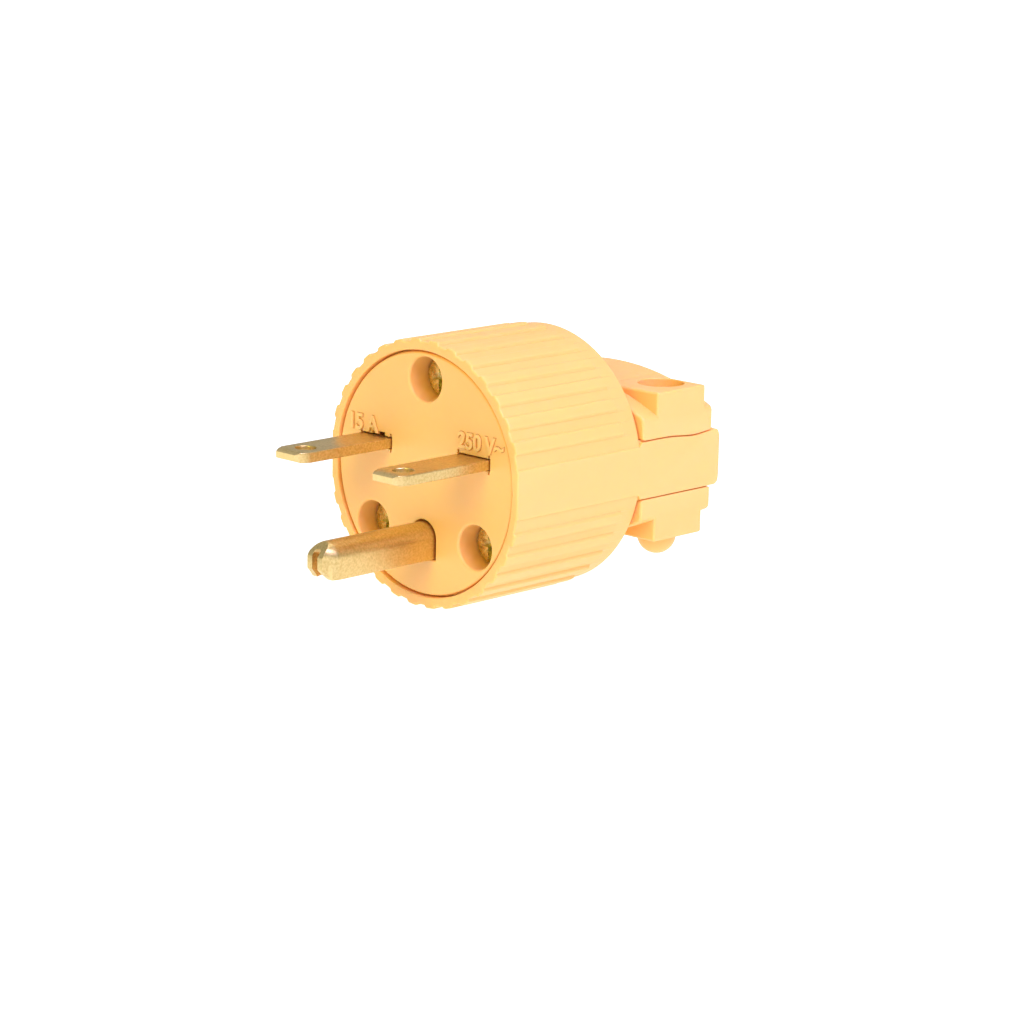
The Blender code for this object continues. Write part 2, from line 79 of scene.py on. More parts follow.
# Shell, from its CAD box and its grip
SHELL_LOW, SHELL_HIGH = span("shell")
SHELL_R = 19.5
SHELL_REAR = 25.6
REAR_FILLET = 0.5
RIM_ROUND = 0.3
REAR_WALL = 2.6
CHAMBER_R = 16.6
CHAMBER_ROUND = 1.0
CORD_HOLE_R = 7.5
CORD_HOLE_LIP = 0.4
BOSS_R = 3.4             # bosses for the assembly screws, with their pilot holes
PILOT_END = 22.5
FLAT_HALF = 3.55
FLAT_EDGE = 0.14         # width of the flats' rounded edges
FLAT_BLEND = 0.9         # how far beside a flat the rear edge's rounding fades out
RIB_COUNT = 14
RIB_PITCH = radians(10.8)
RIB_HALF = 0.86
RIB_EDGE = 0.46          # width of a rib's rounded flank
RIB_HEIGHT = SHELL_HIGH.z - SHELL_R
RIB_END = 22.3
RIB_RUN_OUT = 0.25       # length of a rib's rounded rear end

# Arms
ARM_HALF = 4.25
ARM_INNER_Y = 8.0
ARM_ROOT = 1.2           # how deep an arm starts inside the shell's rear wall
ARM_RECESS = 0.1         # how far it lies under the shell's flat there
ARM_NECK = 0.15          # how much less than the flat's half width it is there
ARM_PROUD = 0.004        # how far it stands over the shell's flat, so that no two faces share a plane
ARM_CORNER = 1.4
ARM_INNER_CORNER = 0.6
ARM_TOP_ROUND = 0.8
ARM_LOW_ROUND = 1.2
ARM_BULGE = 1.4          # how much further the end reaches at its middle
BULGE_LOW = 0.74         # shares of the bulge's arc that stay below and above the middle
BULGE_TOP = 0.86
SEAM_DIP = 0.45          # how far the upper seam dips
SEAM_DIP_X = 37.3
SEAM_DIP_SPREAD = 3.6
SEAM_DEPTH = 0.6         # how deep the seams between arm and clamp look
SEAM_RIDGE = 0.24        # the ridge inside a seam, in its 0.3 mm gap

# Face disc and what goes through it
DISC_HIGH = span("face_disc")[1]
DISC_R = DISC_HIGH.y
FIT = 0.3                # clearance round and behind the disc
BLOCK_REAR = span("terminal_block")[1].x
GROOVE_DEPTH = 0.9       # the groove round the disc, above its hidden wider back
GROOVE_FIT = 0.08
WELL_R = 3.3
WELL_DEPTH = 5.8
WELL_LIP = 0.4
SLOT_FIT = 0.15          # clearance round a blade
SLOT_LIP = 0.12
NOTCH_LEFT = 1.8         # the notch in the far slot, each side of its blade's middle
NOTCH_RIGHT = 0.9
PIN_HOLE_FIT = 0.25
PIN_HOLE_DROP = 0.2
PIN_HOLE_LIP = 0.2
DISC_ROUND = 0.35
SHANK_HOLE_R = 2.05
RATING_HEIGHT = 2.45
RATING_RISE = 0.28
RATING_SINK = 0.04
RATING_WEIGHT = 0.02     # how much the strokes are thickened
# A thin dark rim of painted shade round the foot of the rating lettering: its height over the disc and how
# much its strokes are thickened.
SHADE_RIM_RISE = 0.03
SHADE_RIM_WEIGHT = 0.055
RATINGS = (("rating_current", "15 A", 15.3, 9.6, 4.55),      # left end, right end and foot on the disc
           ("rating_voltage", "250 V~", -7.1, -16.2, 5.1))

# Blades and ground pin
BLADE_HALF = 3.175
BLADE_HALF_T = 0.76
BLADE_EDGE = 0.16
COIN_DEPTH = 0.3         # the thinned tip
COIN_L = 0.9
EAR_W = 0.4              # relief ears at the ends of the blade slots
EAR_H = 0.5
EAR_IN = 0.1             # from the blade's side to an ear's middle
EAR_DEPTH = 1.0
BLADE_TIP_HALF = 2.0
BLADE_TIP_L = 2.0
BLADE_HOLE_R = 1.55
BLADE_HOLE_IN = 3.95     # from the tip to the hole's centre
SHOULDER_HALF = 4.3
SHOULDER_L = 2.0
TAIL_HALF = 3.5
BINDING_HOLE_R = 2.05
PIN_HALF = 2.4
PIN_WALL = 0.95
PIN_TAPER = 2.2
PIN_NOSE_HALF = 1.55
PIN_NOSE_DROP = 0.35     # how much the top sinks for each millimetre that a leg moves in
PIN_SLIT_HALF = 0.55
PIN_NOSE = ((0, 2.0), (0.45, 1.3), (2.1, -0.02))     # its upper slope: back from the tip, below the top
PIN_NOSE_FOOT = 1.5      # its lower slope, back and up
TAIL_T = 1.0
TAIL_EDGE = 0.12

# Screws
ASSEMBLY_HEAD = (3.0, 2.2)       # radius and height
CLAMP_HEAD = (3.2, 2.4)
SHANK_R = 1.75
DRIVE_SLOT = 0.9
DRIVE_SLOT_DEPTH = 0.85
CROSS_REACH = 0.66               # half length of the cross as a share of the head's radius
CROSS_HALF = 0.62                # half width of the cross as a share of the slot's width
CROSS_DEPTH = 1.6
CROWN = 0.45
SCREW_STEPS = 48
THREAD_PITCH = 0.8
THREAD_DEPTH = 0.28

# Cord clamp
CLAMP_LOW, CLAMP_HIGH = span("cord_clamp_upper")
CLAMP_APEX = 12.2
CLAMP_ARCH_R = 44.0
CLAMP_CORNER = 1.0       # rounding where the arch meets the plate's sides
CLAMP_EDGE = 0.45        # rounding of the plate's front and rear edges
CLAMP_REAR = 41.4
WING_FRONT = 29.0
WING_REAR = 39.6
WING_TOP = 11.25
WING_ROUND = 0.4
WING_INNER_Y = 7.7
TROUGH_HALF = 7.7
TROUGH_TOP = 9.9
TROUGH_CORNER = 2.5
JAW_EDGE = 4.9
JAW_T = 1.4
JAW_ROUND = 0.3
JAW_PLACES = (28.6, 33.5, 38.4)
CLAMP_WELL_R = 3.5
CLAMP_WELL_FLOOR = 6.2
CLAMP_WELL_LIP = 0.2
KEEL_SHARE = 0.98        # how much of the seam's dip the upper half's foot fills
DOME_R = 2.95
DOME_SIDE = 11.9
BOLT_HOLE_R = 2.05
BLIND_END = 12.7
NUT_POCKET_R = 4.39
NUT_POCKET_TOP = 7.9


# ---------------------------------------------------------------- shape tools

def quarter(steps):
    """Angles from zero to a right angle."""
    return [pi / 2 * i / steps for i in range(steps + 1)]


def arc(centre, radius, start, end, steps):
    """Points on an arc, with its angles in degrees."""
    angles = [radians(start + (end - start) * i / steps) for i in range(steps + 1)]
    return [(centre[0] + radius * cos(a), centre[1] + radius * sin(a)) for a in angles]


def new_piece(name, bm, sharp=35):
    """A finished object from a bmesh, faces outwards, smooth apart from its sharp edges."""
    bmesh.ops.recalc_face_normals(bm, faces=bm.faces)
    mesh = bpy.data.meshes.new(name)
    bm.to_mesh(mesh)
    bm.free()
    mesh.shade_smooth()
    mesh.set_sharp_from_angle(angle=radians(sharp))
    made = bpy.data.objects.new(name, mesh)
    bpy.context.scene.collection.objects.link(made)
    return made


def skin(name, rings, wrap=False):
    """A closed surface through rings of equal length, capped at its ends or wrapped round to its start."""
    bm = bmesh.new()
    rows = [[bm.verts.new(Vector(point) * MM) for point in ring] for ring in rings]
    count = len(rows[0])
    pairs = list(zip(rows, rows[1:]))
    if wrap:
        pairs.append((rows[-1], rows[0]))
    for a, b in pairs:
        for i in range(count):
            j = (i + 1) % count
            bm.faces.new((a[i], a[j], b[j], b[i]))
    if not wrap:
        bm.faces.new(rows[0])
        bm.faces.new(reversed(rows[-1]))
    return new_piece(name, bm)


def turned(name, profile, steps=64, place=Matrix.Identity(4)):
    """A turned solid about local Z. The profile lists (radius, height), and its ends are flat caps."""
    angles = [2 * pi * i / steps for i in range(steps)]
    made = skin(name, [[(r * cos(a), r * sin(a), z) for a in angles] for r, z in profile])
    made.data.transform(place)
    return made


def at(x, y, z, turn=Matrix.Identity(4)):
    """The placing of a piece made about its own origin, at a point in millimetres."""
    return Matrix.Translation(Vector((x, y, z)) * MM) @ turn


ALONG_X = Matrix.Rotation(pi / 2, 4, "Y")
FACING_FRONT = Matrix.Rotation(-pi / 2, 4, "Y")
FACING_UP = Matrix.Identity(4)
FACING_DOWN = Matrix.Rotation(pi, 4, "X")


def block(name, low, high, rounding=0.0, place=Matrix.Identity(4)):
    """A block between two corners, its edges rounded."""
    bm = bmesh.new()
    bmesh.ops.create_cube(bm, size=1.0)
    low, high = Vector(low), Vector(high)
    size = Matrix.Diagonal(high - low).to_4x4()
    bm.transform(Matrix.Scale(MM, 4) @ Matrix.Translation((low + high) / 2) @ size)
    if rounding:
        bmesh.ops.bevel(bm, geom=bm.edges[:], offset=rounding * MM, segments=4, profile=0.5,
                        affect="EDGES", clamp_overlap=True)
    made = new_piece(name, bm)
    made.data.transform(place)
    return made


def plate(name, outlines, low, high, axis="Z", edge=0.0):
    """A flat outline with any holes, extruded along an axis, its edges rounded by edge.

    An outline's points are (x, y) for axis Z, (x, z) for axis Y and (y, z) for axis X.
    """
    curve = bpy.data.curves.new(name, "CURVE")
    curve.dimensions = "2D"
    curve.fill_mode = "BOTH"
    curve.extrude = ((high - low) / 2 - edge) * MM
    curve.bevel_depth = edge * MM
    curve.bevel_resolution = 2
    curve.offset = -edge * MM
    for outline in outlines:
        line = curve.splines.new("POLY")
        line.points.add(len(outline) - 1)
        for point, (u, v) in zip(line.points, outline):
            point.co = (u * MM, v * MM, 0.0, 1.0)
        line.use_cyclic_u = True
    raw = bpy.data.objects.new(name, curve)
    bpy.context.scene.collection.objects.link(raw)
    turns = {"Z": Matrix.Identity(4),
             "Y": Matrix.Rotation(pi / 2, 4, "X"),
             "X": Matrix(((0, 0, 1, 0), (1, 0, 0, 0), (0, 1, 0, 0), (0, 0, 0, 1)))}
    along = {"X": (1, 0, 0), "Y": (0, 1, 0), "Z": (0, 0, 1)}[axis]
    shift = Matrix.Translation(Vector(along) * (low + high) / 2 * MM)
    return settled(raw, shift @ turns[axis])


def settled(raw, place=Matrix.Identity(4)):
    """The same piece with its modifiers or its curve made into one welded mesh."""
    bpy.context.view_layer.update()
    name = raw.name
    depsgraph = bpy.context.evaluated_depsgraph_get()
    mesh = bpy.data.meshes.new_from_object(raw.evaluated_get(depsgraph))
    bm = bmesh.new()
    bm.from_mesh(mesh)
    bpy.data.objects.remove(raw, do_unlink=True)
    bpy.data.meshes.remove(mesh)
    bmesh.ops.remove_doubles(bm, verts=bm.verts, dist=0.000002)
    bm.transform(place)
    made = new_piece(name, bm)
    made.name = name
    return made


def combine(target, operation, *tools):
    """Join tools to a target, cut them out or keep what is shared, one after the other."""
    for tool in tools:
        step = target.modifiers.new(tool.name, "BOOLEAN")
        step.operation = operation
        step.object = tool
        step.solver = "EXACT"
    made = settled(target)
    for tool in tools:
        bpy.data.objects.remove(tool, do_unlink=True)
    return made


def grow(outline, distance):
    """An outline moved outwards by a distance. Its points run anticlockwise."""
    count = len(outline)
    grown = []
    for i, (x, y) in enumerate(outline):
        before = Vector((x - outline[i - 1][0], y - outline[i - 1][1])).normalized()
        following = outline[(i + 1) % count]
        after = Vector((following[0] - x, following[1] - y)).normalized()
        n1, n2 = Vector((before.y, -before.x)), Vector((after.y, -after.x))
        mitre = (n1 + n2) / max(0.3, 1 + n1.dot(n2))
        grown.append((x + mitre.x * distance, y + mitre.y * distance))
    return grown


def lipped_cutter(name, outline, mouth, end, lip):
    """A cutter along +X whose mouth flares out in a quarter round, which rounds the edge it leaves."""
    levels = [(mouth - 1, lip)]
    levels += [(mouth + lip * (1 - cos(a)), lip * (1 - sin(a))) for a in quarter(4)]
    levels += [(end, 0)]
    return skin(name, [[(x, y, z) for y, z in grow(outline, out)] for x, out in levels])


def circle(x, y, radius, steps=48):
    return arc((x, y), radius, 0, 360 - 360 / steps, steps - 1)


def finish_piece(piece, body, slot, material, *nodes, bevel=0.0):
    """Give a piece its material, its edges, its body and the CAD nodes it stands for."""
    piece.data.materials.clear()
    piece.data.materials.append(material)
    soften(piece, bevel)
    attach(piece, body)
    if nodes:
        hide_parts(*nodes)
    return piece


def soften(piece, bevel):
    """Round a piece's hard edges a little, and keep its flat faces shaded flat."""
    if bevel:
        step = piece.modifiers.new("edges", "BEVEL")
        step.width = bevel * MM
        step.segments = 2
        step.limit_method = "ANGLE"
        step.angle_limit = radians(40)
        step.use_clamp_overlap = True
    weighted = piece.modifiers.new("normals", "WEIGHTED_NORMAL")
    weighted.keep_sharp = True


# ---------------------------------------------------------------- materials

def node(tree, kind, **values):
    made = tree.nodes.new(kind)
    for key, value in values.items():
        if key in made.inputs:
            made.inputs[key].default_value = value
        else:
            setattr(made, key, value)
    return made


def noise(tree, scale, detail=4.0, stretch=(1, 1, 1)):
    """A noise pattern in the object's own space, stretched along its axes."""
    where = node(tree, "ShaderNodeTexCoord")
    mapping = node(tree, "ShaderNodeMapping", Scale=stretch)
    pattern = node(tree, "ShaderNodeTexNoise", Scale=scale, Detail=detail)
    tree.links.new(where.outputs["Object"], mapping.inputs["Vector"])
    tree.links.new(mapping.outputs["Vector"], pattern.inputs["Vector"])
    return pattern.outputs["Fac"]


def ramp(tree, source, *stops):
    """A colour ramp with (place, colour) stops."""
    made = node(tree, "ShaderNodeValToRGB")
    elements = made.color_ramp.elements
    while len(elements) < len(stops):
        elements.new(0.5)
    for element, (place, colour) in zip(elements, stops):
        element.position = place
        element.color = (*colour, 1.0)
    tree.links.new(source, made.inputs["Fac"])
    return made.outputs["Color"]


def blend(tree, share, first, second, mode="MIX"):
    mix = node(tree, "ShaderNodeMix", data_type="RGBA", blend_type=mode)
    tree.links.new(share, mix.inputs[0])
    tree.links.new(first, mix.inputs[6])
    tree.links.new(second, mix.inputs[7])
    return mix.outputs[2]


def to_range(tree, source, low, high, start=0.0, end=1.0):
    made = node(tree, "ShaderNodeMapRange")
    for key, value in zip(("From Min", "From Max", "To Min", "To Max"), (start, end, low, high)):
        made.inputs[key].default_value = value
    tree.links.new(source, made.inputs["Value"])
    return made.outputs["Result"]


def bump(tree, source, strength, distance, under=None):
    made = node(tree, "ShaderNodeBump", Strength=strength, Distance=distance * MM)
    tree.links.new(source, made.inputs["Height"])
    if under:
        tree.links.new(under, made.inputs["Normal"])
    return made.outputs["Normal"]


def new_material(name):
    made = bpy.data.materials.new(name)
    made.use_nodes = True
    return made, made.node_tree, made.node_tree.nodes["Principled BSDF"]


def moulded(name, colour, worn, roughness=0.42, glow=0.18):
    """Moulded plastic: a fine spark-eroded grain, slight mottling and paler, rubbed edges."""
    made, tree, shader = new_material(name)
    mottle = ramp(tree, noise(tree, 90, 3), (0.3, [c * 0.97 for c in colour]), (0.7, colour))
    point = node(tree, "ShaderNodeNewGeometry").outputs["Pointiness"]
    rubbed = to_range(tree, point, 0.0, 0.7, 0.54, 0.62)
    pale = ramp(tree, noise(tree, 300, 2), (0.35, worn), (0.65, [min(1, c * 1.03) for c in worn]))
    tree.links.new(blend(tree, rubbed, mottle, pale), shader.inputs["Base Color"])
    grain = noise(tree, 5200, 2)
    tree.links.new(to_range(tree, noise(tree, 700, 4), roughness - 0.05, roughness + 0.08),
                   shader.inputs["Roughness"])
    waves = bump(tree, noise(tree, 260, 2), 0.25, 0.012)
    tree.links.new(bump(tree, grain, 0.3, 0.006, waves), shader.inputs["Normal"])
    shader.inputs["Subsurface Weight"].default_value = glow
    shader.inputs["Subsurface Radius"].default_value = (1.0, 0.55, 0.2)
    shader.inputs["Subsurface Scale"].default_value = 1.2 * MM
    shader.inputs["IOR"].default_value = 1.5
    return made


def metal(name, colour, tarnish, roughness, drawn=(1, 1, 1), grain=0.01, speckle=260, dent=0.02):
    """Metal with drawn grain along one axis, a speckled tarnish, small dents and brighter, rubbed edges."""
    made, tree, shader = new_material(name)
    patches = ramp(tree, noise(tree, speckle, 6), (0.34, tarnish), (0.66, colour))
    streaks = noise(tree, 1500, 5, drawn)
    point = node(tree, "ShaderNodeNewGeometry").outputs["Pointiness"]
    rubbed = to_range(tree, point, 0.0, 0.6, 0.53, 0.6)
    bright = ramp(tree, streaks, (0.3, [min(1, c * 1.15) for c in colour]),
                  (0.7, [min(1, c * 1.3) for c in colour]))
    tree.links.new(blend(tree, rubbed, patches, bright), shader.inputs["Base Color"])
    tree.links.new(to_range(tree, streaks, roughness - 0.08, roughness + 0.12), shader.inputs["Roughness"])
    dents = bump(tree, noise(tree, 420, 3), 0.3, dent)
    tree.links.new(bump(tree, streaks, 0.5, grain, dents), shader.inputs["Normal"])
    shader.inputs["Metallic"].default_value = 1.0
    return made


PLASTIC = moulded("yellow_plastic", (0.97, 0.53, 0.15), (0.98, 0.55, 0.17), glow=0.4)
# A darker orange plastic that paints in the shade at the foot of the raised rating lettering.
PAINTED_SHADE = moulded("painted_shade_plastic", (0.62, 0.27, 0.05), (0.62, 0.27, 0.05), 0.6)
INSULATOR = moulded("phenolic_block", (0.62, 0.5, 0.33), (0.72, 0.62, 0.45), 0.5, 0.05)
BLADE_BRASS = metal("blade_brass", (0.73, 0.56, 0.24), (0.56, 0.41, 0.14), 0.34, (0.35, 1, 1), 0.02, 3000)
PLATE_BRASS = metal("plate_brass", (0.74, 0.52, 0.23), (0.6, 0.4, 0.15), 0.34, (0.2, 1, 1))
SCREW_BRASS = metal("yellow_zinc", (0.82, 0.78, 0.34), (0.52, 0.46, 0.13), 0.25, speckle=1300, dent=0.08)
GROUND_GREEN = metal("green_zinc", (0.07, 0.34, 0.13), (0.04, 0.22, 0.08), 0.34)
NUT_STEEL = metal("zinc_plate", (0.62, 0.62, 0.6), (0.45, 0.45, 0.44), 0.36)


# ---------------------------------------------------------------- shell

def grip_angles():
    """Angles round the shell, from +Z towards -Y: close together at the ribs' flanks and the side flats."""
    flank = [RIB_HALF + RIB_EDGE * (0.5 - t) for t in (0, 0.08, 0.25, 0.5, 0.75, 1)]
    steps = [s / SHELL_R for s in [-f for f in flank] + [-0.25, 0.25] + flank[::-1]]
    angles = []
    for side in (0, pi):
        for k in range(RIB_COUNT):
            centre = side + (k - (RIB_COUNT - 1) / 2) * RIB_PITCH
            angles += [centre - RIB_PITCH / 2] + [centre + step for step in steps]
        angles.append(side + RIB_COUNT / 2 * RIB_PITCH)
        corner = asin(FLAT_HALF / hypot(FLAT_HALF, SHELL_HIGH.y))
        edge = FLAT_EDGE / SHELL_R
        beside = [corner, corner + edge / 2, corner + edge]
        angles += [side + pi / 2 + turn for turn in [-b for b in beside] + [0] + beside]
    return sorted(a % (2 * pi) for a in angles)


def rib_rise(angle):
    """How far the surface stands above the plain round shell at an angle, from 0 to 1 rib height."""
    half_turn = (angle + pi / 2) % pi - pi / 2
    place = half_turn / RIB_PITCH + (RIB_COUNT - 1) / 2
    nearest = min(RIB_COUNT - 1, max(0, round(place)))
    away = abs(place - nearest) * RIB_PITCH * SHELL_R
    t = (RIB_HALF + RIB_EDGE / 2 - away) / RIB_EDGE
    return sin(pi / 2 * min(1, max(0, t)))


def outer_radius(angle, ribs):
    """The shell's radius at an angle, with its ribs and its two side flats."""
    flat = SHELL_HIGH.y
    corner_r = hypot(FLAT_HALF, flat)
    past = (abs(angle % pi - pi / 2) - asin(FLAT_HALF / corner_r)) * SHELL_R / FLAT_EDGE
    if past < 0.01:
        return flat / abs(sin(angle))
    if past < 0.99:
        return SHELL_R + (corner_r - SHELL_R) * cos(pi / 2 * past)
    return SHELL_R + ribs * RIB_HEIGHT * rib_rise(angle)


def rear_share(angle):
    """How much of the rear rounding there is at an angle: none on the flats, which run on into the arms."""
    past = abs(angle % pi - pi / 2) - asin(FLAT_HALF / hypot(FLAT_HALF, SHELL_HIGH.y))
    return min(1, max(0, past * SHELL_R / FLAT_BLEND))


def shell():
    """Round housing with its grip, side flats and arms, a chamber with screw bosses and a cord hole."""
    angles = grip_angles()
    front = SHELL_LOW.x
    levels = [(front + RIM_ROUND * (1 - sin(a)), [RIM_ROUND * (1 - cos(a))] * len(angles), 1)
              for a in reversed(quarter(4))]
    for t in (0, 0.2, 0.5, 0.8, 1):
        levels.append((RIB_END - RIB_RUN_OUT * (1 - t), [0] * len(angles), cos(pi / 2 * t)))
    for a in quarter(6):
        insets = [REAR_FILLET * (1 - cos(a)) * rear_share(angle) for angle in angles]
        levels.append((SHELL_REAR - REAR_FILLET * (1 - sin(a)), insets, 0))
    rings = [[(x, -sin(a) * (outer_radius(a, ribs) - inset), cos(a) * (outer_radius(a, ribs) - inset))
              for a, inset in zip(angles, insets)] for x, insets, ribs in levels]

    chamber_end = SHELL_REAR - REAR_WALL
    mouth = DISC_R + FIT
    lip = CORD_HOLE_LIP
    seat = DISC_HIGH.x + FIT
    inside = [(SHELL_REAR, CORD_HOLE_R + lip)]
    inside += [(SHELL_REAR - lip * (1 - cos(a)), CORD_HOLE_R + lip * (1 - sin(a)))
               for a in (pi / 6, pi / 3, pi / 2)]
    inside += [(chamber_end + lip, CORD_HOLE_R), (chamber_end, CORD_HOLE_R + lip),
               (chamber_end, CHAMBER_R - CHAMBER_ROUND),
               (chamber_end - 0.3 * CHAMBER_ROUND, CHAMBER_R - 0.3 * CHAMBER_ROUND),
               (chamber_end - CHAMBER_ROUND, CHAMBER_R), (seat, CHAMBER_R), (seat, mouth)]
    rim = RIM_ROUND * 0.7
    inside += [(front + rim, mouth), (front + rim * 0.3, mouth + rim * 0.3), (front, mouth + rim)]
    rings += [[(x, -sin(a) * r, cos(a) * r) for a in angles] for x, r in inside]
    body = skin("moulded_shell", rings, wrap=True)

    for side in (-1, 1):
        body = combine(body, "UNION", arm(side, 0, 0), arm(side, SEAM_DEPTH, SEAM_RIDGE))
    screws = [middle("assembly_screw_" + name) for name in ("top", "near", "far")]
    boss_front = BLOCK_REAR + FIT
    bosses = [turned("boss", [(BOSS_R, boss_front), (BOSS_R, chamber_end + 0.5)], 48,
                     at(0, place.y, place.z, ALONG_X)) for place in screws]
    body = combine(body, "UNION", *bosses)
    pilots = [turned("pilot", [(SHANK_HOLE_R, boss_front - 1), (SHANK_HOLE_R, PILOT_END)], 32,
                     at(0, place.y, place.z, ALONG_X)) for place in screws]
    bolts = [middle("clamp_screw_" + name) for name in ("near", "far")]
    holes = [turned("arm_hole", [(BOLT_HOLE_R, -ARM_HALF - 1), (BOLT_HOLE_R, ARM_HALF + 1)], 40,
                    at(bolt.x, bolt.y, 0)) for bolt in bolts]
    body = combine(body, "DIFFERENCE", *pilots, *holes)
    return finish_piece(body, "housing", "yellow_moulding", PLASTIC, "shell")


def seam_dip(x):
    """How far the upper seam lies below its straight line, along the plug."""
    return SEAM_DIP * exp(-((x - SEAM_DIP_X) / SEAM_DIP_SPREAD) ** 2)


def arm(side, inset, rise):
    """One side arm, flush with the shell's flat. Its end bulges and its top dips with the seam.

    An inset and a rise make the ridge inside the two seams, which keeps them shallow.
    """
    outer = SHELL_HIGH.y - inset
    proud = outer + ARM_PROUD
    end = SHELL_HIGH.x - inset
    half = ARM_HALF + rise
    start = SHELL_REAR - ARM_ROOT
    neck = FLAT_HALF - ARM_NECK
    corner = arc((end - ARM_CORNER, proud - ARM_CORNER), ARM_CORNER, 0, 90, 12)
    inner = arc((end - ARM_INNER_CORNER, ARM_INNER_Y + ARM_INNER_CORNER), ARM_INNER_CORNER, -90, 0, 4)
    under = outer - ARM_RECESS
    outline = [(start, ARM_INNER_Y)] + inner + corner
    outline += [(SHELL_REAR - 0.05, proud), (SHELL_REAR - 0.9, under), (start, under)]
    outline = [(x, side * y) for x, y in outline]
    tall = half + 0.6
    made = plate("arm", [outline], -tall, tall, "Z")

    bulge_r = (half ** 2 + ARM_BULGE ** 2) / (2 * ARM_BULGE)
    lean = 90 - acos(half / bulge_r) * 180 / pi
    bulge = arc((end - bulge_r, 0), bulge_r, -lean * BULGE_LOW, lean * BULGE_TOP, 8)
    low_x = bulge[0][0] - ARM_LOW_ROUND
    top_x = bulge[-1][0] - ARM_TOP_ROUND
    clear, hidden = SHELL_REAR + 0.1, SHELL_REAR - 0.5
    profile = [(start - 3, -neck), (hidden, -neck), (clear, -half)]
    profile += arc((low_x, ARM_LOW_ROUND - half), ARM_LOW_ROUND, -90, -20, 6) + bulge
    profile += arc((top_x, half - ARM_TOP_ROUND), ARM_TOP_ROUND, 25, 90, 5)
    tops = [top_x - 0.5 * (i + 1) for i in range(34)]
    profile += [(x, half - seam_dip(x)) for x in tops if x > clear]
    profile += [(clear, half), (hidden, neck), (start - 3, neck)]
    view = plate("arm_side_view", [profile], -VIEW_HALF, VIEW_HALF, "Y")
    return combine(made, "INTERSECT", view)


# ---------------------------------------------------------------- front

def blade_slot(blade, notch):
    """Outline of a blade's slot in the disc, one of them with a notch in its upper edge."""
    half_y = BLADE_HALF + SLOT_FIT
    half_z = BLADE_HALF_T + SLOT_FIT
    left, right = blade.y - half_y, blade.y + half_y
    low, high = blade.z - half_z, blade.z + half_z
    top = [(right, high)]
    if notch:
        notch_low, notch_high = blade.y - NOTCH_LEFT, blade.y + NOTCH_RIGHT
        top += [(notch_high, high), (notch_high, high + EAR_H), (notch_low, high + EAR_H), (notch_low, high)]
    return [(left, low), (right, low)] + top + [(left, high)]


def slot_ears(blade):
    """Shallow relief cuts at the two ends of a blade's slot."""
    reach = BLADE_HALF_T + SLOT_FIT + EAR_H
    places = [blade.y + side * (BLADE_HALF - EAR_IN) for side in (-1, 1)]
    return [block("ear", (-1, y - EAR_W / 2, blade.z - reach), (EAR_DEPTH, y + EAR_W / 2, blade.z + reach))
            for y in places]


def pin_outline(half, top, bottom, steps=16):
    """The pin's outer section, round above and square below, anticlockwise from its lower right."""
    return [(half, bottom)] + arc((0, top - half), half, 0, 180, steps) + [(-half, bottom)]


def face_disc():
    """Recessed front disc with deep screw wells, slots and raised ratings."""
    depth = DISC_HIGH.x
    back_r = DISC_R + FIT - GROOVE_FIT
    rim = [(back_r - 0.2, depth), (back_r, depth - 0.2), (back_r, GROOVE_DEPTH + 0.1)]
    rim += [(DISC_R, GROOVE_DEPTH)]
    rim += [(DISC_R - DISC_ROUND * (1 - cos(a)), DISC_ROUND * (1 - sin(a))) for a in quarter(4)]
    disc = turned("moulded_face", rim, 160, ALONG_X)
    cutters = []
    for name in ("top", "near", "far"):
        place = middle("assembly_screw_" + name)
        cutters.append(lipped_cutter("well", circle(place.y, place.z, WELL_R), 0, WELL_DEPTH, WELL_LIP))
        cutters.append(turned("shank_hole", [(SHANK_HOLE_R, 0), (SHANK_HOLE_R, depth + 1)], 40,
                              at(0, place.y, place.z, ALONG_X)))
    for name, notch in (("near", False), ("far", True)):
        blade = middle("line_blade_" + name)
        cutters.append(lipped_cutter("slot", blade_slot(blade, notch), 0, depth + 1, SLOT_LIP))
        cutters += slot_ears(blade)
    low, high = span("ground_pin")
    pin_hole = pin_outline(PIN_HALF + PIN_HOLE_FIT, high.z + PIN_HOLE_FIT, low.z - PIN_HOLE_DROP)
    cutters.append(lipped_cutter("pin_hole", pin_hole, 0, depth + 1, PIN_HOLE_LIP))
    disc = combine(disc, "DIFFERENCE", *cutters)
    for name, text, left_y, right_y, base_z in RATINGS:
        rating(name, text, left_y, right_y, base_z)
    return finish_piece(disc, "front_carrier", "yellow_moulding", PLASTIC, "face_disc")


def lettering(name, text, weight, depth):
    """Flat text made solid, its strokes thickened by weight."""
    curve = bpy.data.curves.new(name, "FONT")
    curve.body = text
    curve.size = MM
    curve.extrude = depth * MM
    curve.offset = weight * MM
    curve.resolution_u = 4
    raw = bpy.data.objects.new(name, curve)
    bpy.context.scene.collection.objects.link(raw)
    return settled(raw)


